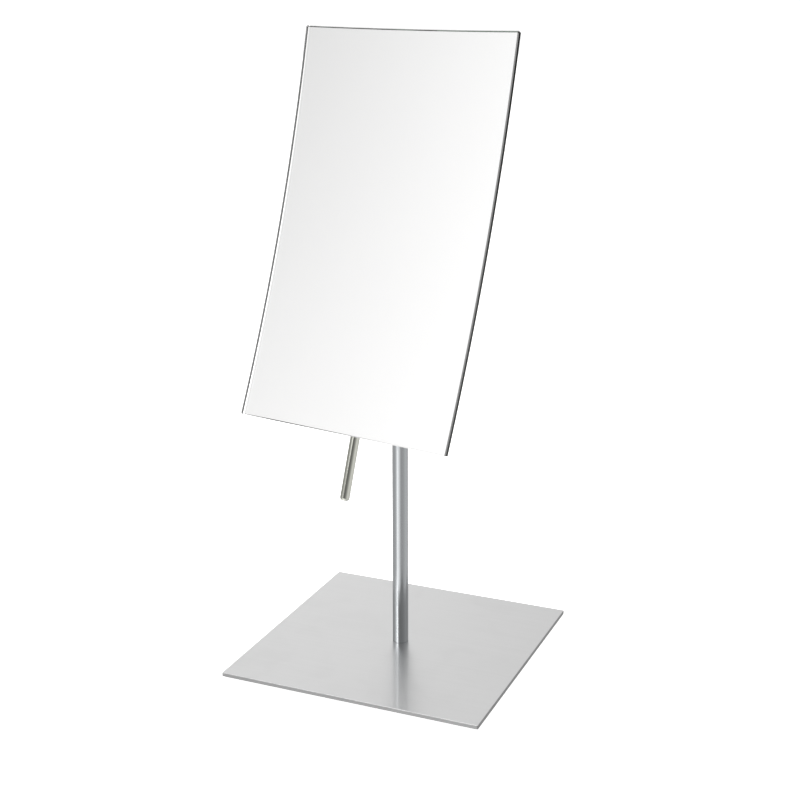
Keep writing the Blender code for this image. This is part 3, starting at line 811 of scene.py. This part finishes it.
def make_handle():
    low, high = span("handle_rod", HEAD)
    radius = high.x
    shoulder = -12.3 * MM
    spigot = 1.95 * MM
    tip_rounding = 1.6 * MM
    rod = new_rod("handle_rod_polished", radius, low.z, shoulder, 96)
    ease(rod, lambda edge: edge_axis(edge).z < 0.5 and middle(edge).z < low.z + NEAR, tip_rounding, 8)
    grow(rod, lambda face: face.normal.z > 0.9, [(0, spigot / radius), (high.z - shoulder, 1)])
    ease(rod, lambda edge: abs(edge_axis(edge).z) < 0.5 and middle(edge).z > high.z - NEAR, 0.4 * MM, 2)
    move(rod, Matrix.Translation((0, (low.y + high.y) / 2, 0)))
    move(rod, HEAD)
    finish_piece(rod, "head", "polished_steel", [ROD_STEEL], "handle_rod")


def make_hinge_bolt():
    low, high = span("hinge_bolt", HEAD)
    head_radius = high.y
    head_low = 6.9 * MM
    shank = 1.95 * MM
    socket_flats = 2.5 * MM
    socket_depth = 1.3 * MM
    bolt = new_rod("hinge_bolt_polished", head_radius, head_low, high.x, 96)
    ease(bolt, lambda edge: abs(edge_axis(edge).z) < 0.5 and middle(edge).z > high.x - NEAR, 1.5 * MM, 8)
    grow(bolt, lambda face: face.normal.z < -0.9, [(0, shank / head_radius), (low.x - head_low, 1)])
    hex_socket(bolt, socket_flats, high.x - socket_depth, high.x + MM)
    round_edges(bolt, 0.08 * MM, 2, 40)
    move(bolt, HEAD @ SIDEWAYS)
    finish_piece(bolt, "head", "polished_steel", [BOLT_STEEL], "hinge_bolt")


def make_hinge_nut():
    flats = 7 * MM
    face = -span("hinge_nut", HEAD)[1].x
    hex_high = face + 3.2 * MM
    dome = 3.2 * MM
    bore_depth = 4.8 * MM
    nut = new_rod("hinge_nut_polished", flats / math.sqrt(3), face, hex_high, 6)
    chamfer = new_rod("chamfer", flats / math.sqrt(3) + 0.05 * MM, face - MM, hex_high, 96)
    ease(chamfer, lambda edge: abs(edge_axis(edge).z) < 0.5 and middle(edge).z > hex_high - NEAR,
         0.7 * MM, 1)
    apply_boolean(nut, chamfer, "INTERSECT")
    deselect()
    bpy.ops.mesh.primitive_uv_sphere_add(segments=64, ring_count=32, radius=dome,
                                         location=(0, 0, hex_high - 0.5 * MM))
    cap = name_new("cap")
    settle(cap)
    enter(cap)
    bpy.ops.mesh.select_all(action="SELECT")
    bpy.ops.mesh.bisect(plane_co=(0, 0, hex_high - 0.4 * MM), plane_no=(0, 0, 1), clear_inner=True,
                        use_fill=True)
    leave()
    apply_boolean(nut, cap, "UNION")
    drill(nut, BOLT_BORE, face - MM, face + bore_depth)
    round_edges(nut, 0.15 * MM, 3, 30)
    turned = Matrix.Rotation(-math.pi / 2, 4, "Y")
    move(nut, HEAD @ turned)
    finish_piece(nut, "head", "polished_steel", [BOLT_STEEL], "hinge_nut", angle=25)


def cup_disc(ring, width, rise):
    """Shape a flat disc into a shallow cone, its middle pushed out towards the nut."""
    enter(ring)
    pick_faces(ring, lambda face: abs(face.normal.z) > 0.9)
    bpy.ops.mesh.inset(thickness=width)
    bpy.ops.transform.translate(value=(0, 0, -rise))
    leave()


def make_hinge_rings():
    """The friction washers and the disc spring, each a thin ring on the bolt."""
    cone = 0.35 * MM
    for node, material, slot_name in (("friction_washer_left", NYLON, "nylon"),
                                      ("friction_washer_right", NYLON, "nylon"),
                                      ("hinge_spring", ZINC, "zinc_steel")):
        low, high = span(node, HEAD)
        rise = cone if node == "hinge_spring" else 0
        ring = new_rod(f"{node}_ring", high.y, low.x + rise, high.x, 96)
        if rise > 0:
            cup_disc(ring, high.y - BOLT_BORE, rise)
        drill(ring, BOLT_BORE, low.x - MM, high.x + MM)
        round_edges(ring, 0.08 * MM, 2, 40)
        move(ring, HEAD @ SIDEWAYS)
        finish_piece(ring, "head", slot_name, [material], node)


make_glass()
make_silvering()
make_back_sheet()
make_bracket()
make_handle()
make_hinge_bolt()
make_hinge_nut()
make_hinge_rings()


# CAD pieces that keep their shape

def dress(node, material):
    piece = frame["nodes"][node]
    piece.data.materials.clear()
    piece.data.materials.append(material)


for screw in ("base_screw", "post_insert", "swivel_washer", "swivel_nut", "bracket_screw_1",
              "bracket_screw_2", "bracket_screw_3"):
    dress(screw, ZINC)
for strip in ("tape_top", "tape_bottom", "tape_left", "tape_right"):
    dress(strip, FOAM)


# Studio

# Brightness of the studio round the object, as (azimuth, level) rings at four heights. Azimuth 0 is
# in front of the mirror and 90 to the side of +X.
LEVEL_TOP = 6.0  # brightest level that the rings can hold
LOW_RING = ((-180, 0.60), (-140, 0.56), (-100, 0.54), (-75, 0.50), (-49, 0.58), (-43, 0.78), (-36, 0.74),
            (-21, 1.62), (4, 1.15), (26, 0.60), (40, 0.46), (68, 0.50), (104, 0.66), (150, 0.62),
            (180, 0.60))
MIDDLE_RING = ((-180, 0.85), (-154, 1.05), (-120, 0.42), (-78, 0.30), (-52, 0.38), (-44, 0.66), (-32, 0.68),
               (-24, 0.50), (-14, 0.22), (5, 0.16), (30, 0.22), (44, 0.34), (62, 0.52), (80, 0.80),
               (108, 0.90), (126, 0.30), (139, 0.12), (165, 0.60), (180, 0.85))
HIGH_RING = ((-180, 0.72), (-170, 0.78), (-154, 1.16), (-135, 0.80), (-109, 0.30), (-86, 0.45), (-70, 0.80),
             (-60, 1.39), (-37, 0.70), (-30, 3.80), (-22, 3.20), (-10, 0.30), (2, 0.10), (24, 0.10),
             (40, 0.20), (67, 0.30), (102, 0.50), (149, 0.40), (180, 0.72))
TOP_RING = ((-180, 0.85), (-145, 1.15), (-110, 0.45), (-84, 0.60), (-74, 1.00), (-68.6, 0.95),
            (-66.8, 0.00), (-65.4, 0.00), (-64.7, 0.95), (-52, 1.50), (-44, 1.42), (-32, 4.40), (-20, 3.60),
            (-7, 0.40), (60, 0.40), (149, 0.60), (180, 0.85))
ZENITH_LEVEL = 0.9
NADIR_LEVEL = 1.1


def direction(azimuth, elevation):
    """Unit vector to a place in the studio."""
    turn = math.radians(azimuth)
    rise = math.radians(elevation)
    return Vector((math.sin(turn) * math.cos(rise), -math.cos(turn) * math.cos(rise), math.sin(rise)))


def ring_level(tree, azimuth, ring):
    """Brightness along one ring."""
    ramp = add_node(tree, "ShaderNodeValToRGB")
    ramp.color_ramp.interpolation = "EASE"
    stops = ramp.color_ramp.elements
    stops.remove(stops[1])
    stops[0].position = 0
    for stop, (place, level) in enumerate(ring):
        element = stops[0] if stop == 0 else stops.new((place + 180) / 360)
        shade = level / LEVEL_TOP
        element.color = (shade, shade, shade, 1)
    tree.links.new(azimuth, ramp.inputs["Fac"])
    return ramp.outputs["Color"]


def blend_levels(tree, height, low, high, first, second):
    """Pass from one level to another between two heights."""
    rise = set_inputs(add_node(tree, "ShaderNodeMapRange", interpolation_type="SMOOTHSTEP"),
                      From_Min=math.sin(math.radians(low)), From_Max=math.sin(math.radians(high)))
    tree.links.new(height, rise.inputs["Value"])
    mix = add_node(tree, "ShaderNodeMix", data_type="RGBA")
    tree.links.new(rise.outputs["Result"], mix.inputs["Factor"])
    for socket, value in ((mix.inputs["A"], first), (mix.inputs["B"], second)):
        if isinstance(value, bpy.types.NodeSocket):
            tree.links.new(value, socket)
        else:
            socket.default_value = (value / LEVEL_TOP, value / LEVEL_TOP, value / LEVEL_TOP, 1)
    return mix.outputs["Result"]


def make_world():
    """Soft light from all round, and plain white behind the object."""
    world = bpy.data.worlds.new("studio")
    bpy.context.scene.world = world
    world.use_nodes = True
    tree = world.node_tree
    tree.nodes.clear()
    coords = add_node(tree, "ShaderNodeTexCoord")
    split = add_node(tree, "ShaderNodeSeparateXYZ")
    tree.links.new(coords.outputs["Generated"], split.inputs[0])
    front = math_node(tree, "MULTIPLY", split.outputs["Y"], -1.0)
    turn = math_node(tree, "ARCTAN2", split.outputs["X"], front)
    azimuth = math_node(tree, "MULTIPLY_ADD", turn, 1 / (2 * math.pi))
    azimuth.node.inputs[2].default_value = 0.5
    height = split.outputs["Z"]
    low = ring_level(tree, azimuth, LOW_RING)
    middle = ring_level(tree, azimuth, MIDDLE_RING)
    high = ring_level(tree, azimuth, HIGH_RING)
    top = ring_level(tree, azimuth, TOP_RING)
    level = blend_levels(tree, height, -60, -35, NADIR_LEVEL, low)
    level = blend_levels(tree, height, -18, 2, level, middle)
    level = blend_levels(tree, height, 12, 19, level, high)
    level = blend_levels(tree, height, 17, 32, level, top)
    level = blend_levels(tree, height, 58, 78, level, ZENITH_LEVEL)
    soft = set_inputs(add_node(tree, "ShaderNodeBackground"), Strength=LEVEL_TOP)
    tree.links.new(level, soft.inputs["Color"])
    white = set_inputs(add_node(tree, "ShaderNodeBackground"), Strength=1.1)
    white.inputs["Color"].default_value = (1, 1, 1, 1)
    path = add_node(tree, "ShaderNodeLightPath")
    mix = add_node(tree, "ShaderNodeMixShader")
    out = add_node(tree, "ShaderNodeOutputWorld")
    tree.links.new(path.outputs["Is Camera Ray"], mix.inputs[0])
    tree.links.new(soft.outputs[0], mix.inputs[1])
    tree.links.new(white.outputs[0], mix.inputs[2])
    tree.links.new(mix.outputs[0], out.inputs["Surface"])


def make_floor():
    deselect()
    below = 0.2 * MM
    bpy.ops.mesh.primitive_circle_add(vertices=96, radius=6, fill_type="NGON", location=(0, 0, -below))
    floor = name_new("floor")
    settle(floor)
    material, _, shader = new_material("pale_floor")
    shader.inputs["Base Color"].default_value = (0.93, 0.93, 0.93, 1)
    shader.inputs["Roughness"].default_value = 0.9
    shader.inputs["Emission Color"].default_value = (1, 1, 1, 1)
    shader.inputs["Emission Strength"].default_value = 0.72
    floor.data.materials.append(material)
    floor.visible_glossy = False
    floor.visible_transmission = False
    floor.visible_diffuse = False


def make_softbox(name, azimuth, elevation, distance, size, power):
    light = bpy.data.lights.new(name, "AREA")
    light.shape = "DISK"
    light.size = size
    light.energy = power
    lamp = bpy.data.objects.new(name, light)
    bpy.context.scene.collection.objects.link(lamp)
    aim = Vector((0, 0, AIM_HEIGHT))
    out = direction(azimuth, elevation)
    lamp.location = aim + out * distance
    lamp.rotation_mode = "QUATERNION"
    lamp.rotation_quaternion = (-out).to_track_quat("-Z", "Y")
    lamp.visible_glossy = False
    lamp.visible_transmission = False


def make_camera():
    camera_data = bpy.data.cameras.new("camera")
    camera_data.lens = CAMERA_LENS
    camera_data.sensor_width = 36
    camera_data.clip_start = 0.05
    camera_data.clip_end = 50
    camera = bpy.data.objects.new("camera", camera_data)
    bpy.context.scene.collection.objects.link(camera)
    aim = Vector((0, 0, AIM_HEIGHT))
    back = direction(math.degrees(CAMERA_AZIMUTH), math.degrees(CAMERA_ELEVATION))
    camera.location = aim + back * CAMERA_DISTANCE
    camera.rotation_mode = "QUATERNION"
    look = (-back).to_track_quat("-Z", "Y")
    camera.rotation_quaternion = look @ Matrix.Rotation(CAMERA_ROLL, 4, "Z").to_quaternion()
    bpy.context.scene.camera = camera


make_world()
make_floor()
make_softbox("key_softbox", azimuth=-35, elevation=45, distance=1.6, size=1.4, power=18)
make_softbox("fill_softbox", azimuth=70, elevation=35, distance=1.8, size=1.6, power=8)
make_camera()
bpy.context.scene.view_settings.view_transform = "Standard"
